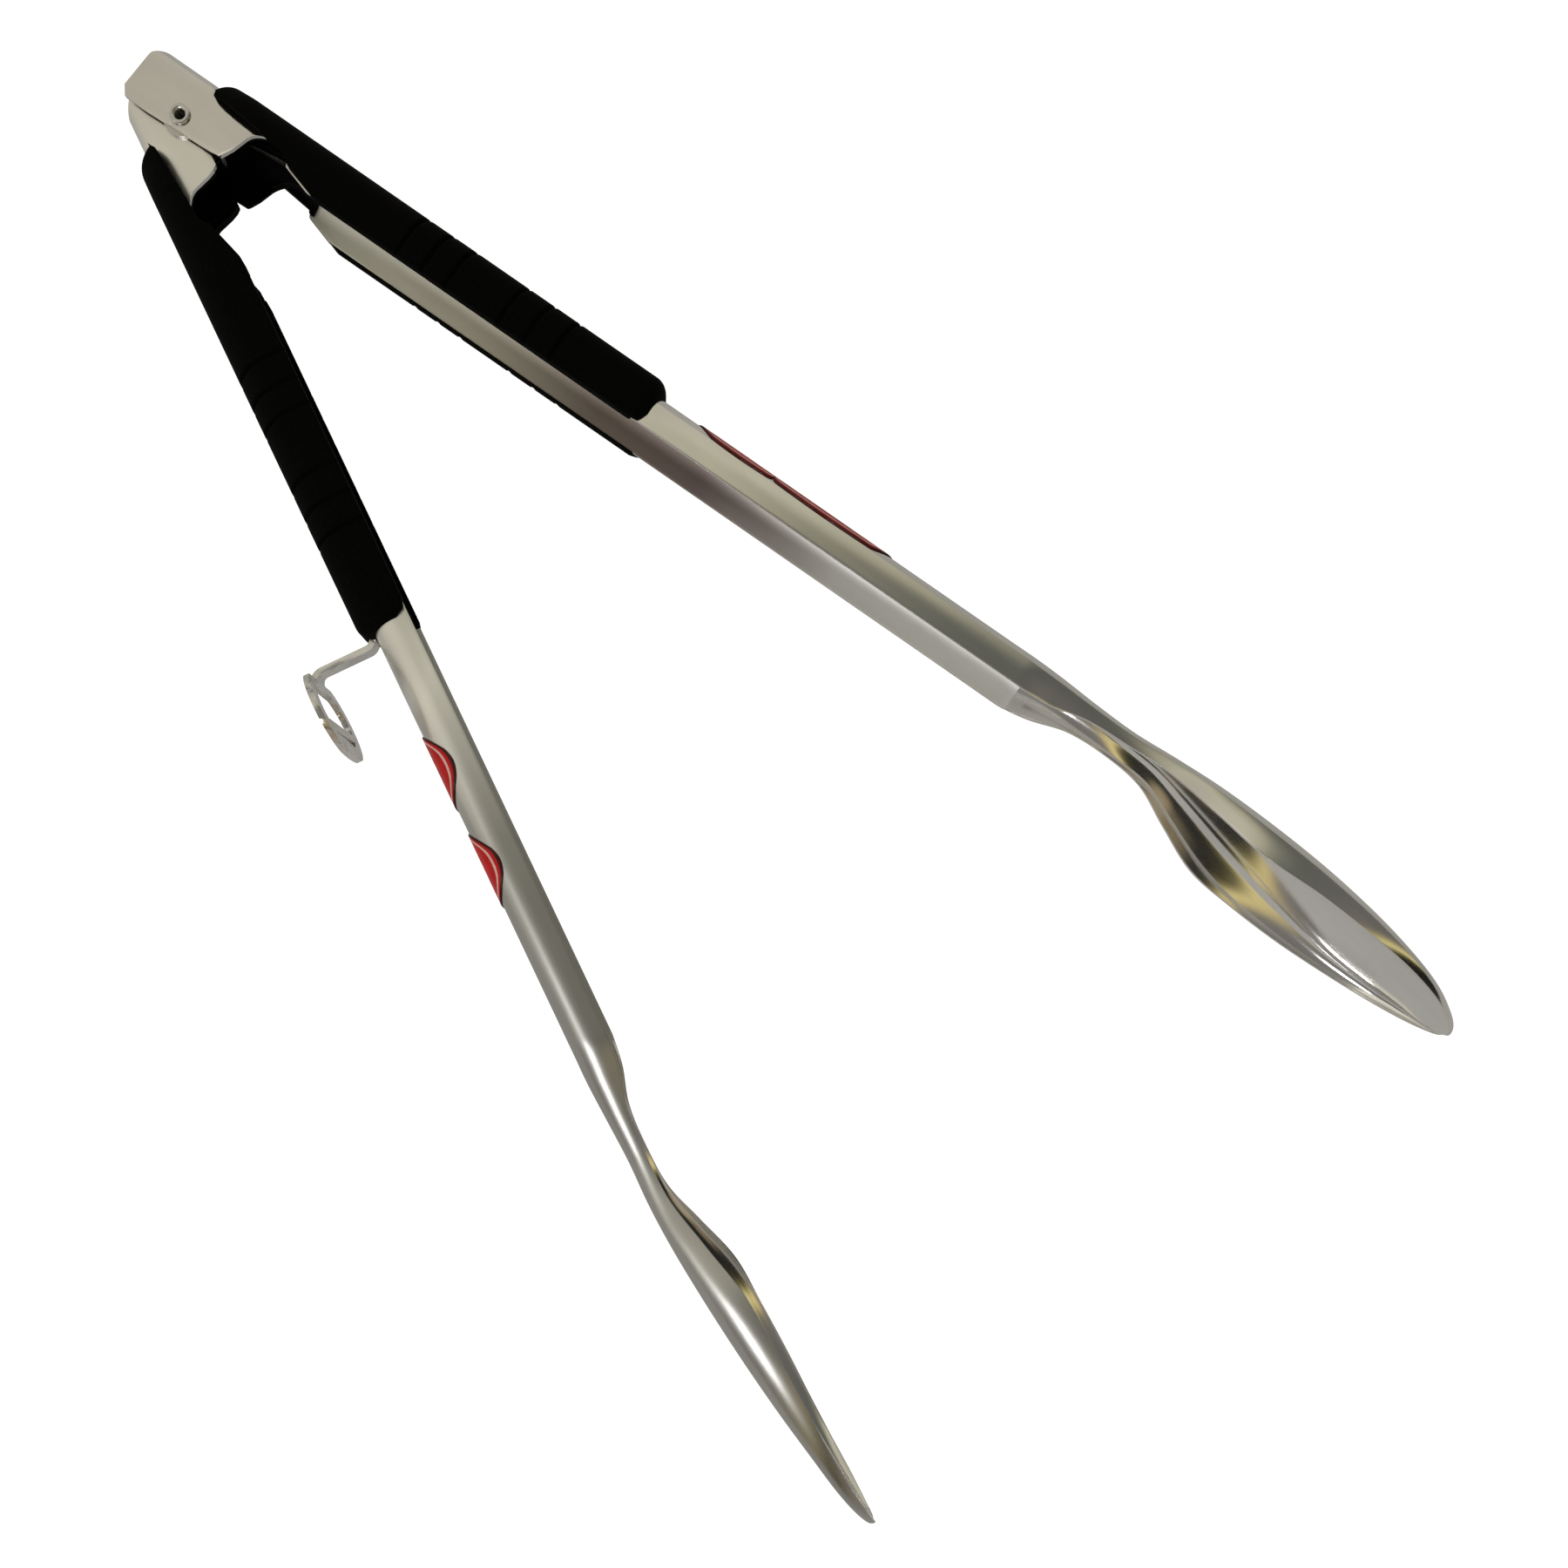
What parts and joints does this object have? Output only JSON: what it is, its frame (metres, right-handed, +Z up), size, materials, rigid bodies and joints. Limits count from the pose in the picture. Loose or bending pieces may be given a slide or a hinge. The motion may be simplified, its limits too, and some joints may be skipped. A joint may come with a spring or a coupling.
{
  "type": "spring loaded kitchen tongs",
  "caption": "Long steel kitchen tongs with sprung hinge, rubber grips, scoop ends and a bottle opener ring on one arm, lying on their side.",
  "frame": {"origin": "middle of the footprint, on the surface the tongs lie on", "axes": "+Z up, along the hinge axis; +X from the hinge towards the scoops, halfway between the arms; +Y towards the outer arm"},
  "size_m": [0.3936, 0.1918, 0.0429],
  "materials": {
    "stainless_steel": "satin",
    "black_rubber": "matte",
    "black_plastic": "matte",
    "rivet_steel": "satin",
    "spring_steel": "black oxide",
    "red_disc": "gloss",
    "opener_steel": "satin"
  },
  "bodies": {
    "lower_jaw": {"lower_arm": "stainless_steel", "lower_grip": "black_rubber", "lower_hinge_liner": "black_plastic", "pivot_rivet": "rivet_steel", "spring_sleeve": "black_plastic", "shim_washer_near": "rivet_steel", "shim_washer_far": "rivet_steel", "torsion_spring": "spring_steel", "lower_disc_rear": "red_disc", "lower_disc_front": "red_disc", "bottle_opener": "opener_steel", "opener_rivets": "rivet_steel"},
    "upper_jaw": {"upper_arm": "stainless_steel", "upper_grip": "black_rubber", "upper_hinge_liner": "black_plastic", "upper_disc_rear": "red_disc", "upper_disc_front": "red_disc"}
  },
  "joints": [
    {"name": "hinge", "type": "hinge", "parent": "lower_jaw", "child": "upper_jaw", "pos_m": [-0.18031, 0, 0.02148], "axis": [0, 0, -1], "range_deg": [0, 28.1], "stiffness_Nm_per_rad": 0.35, "springref_deg": -51.57, "deforming": ["torsion_spring"]}
  ]
}
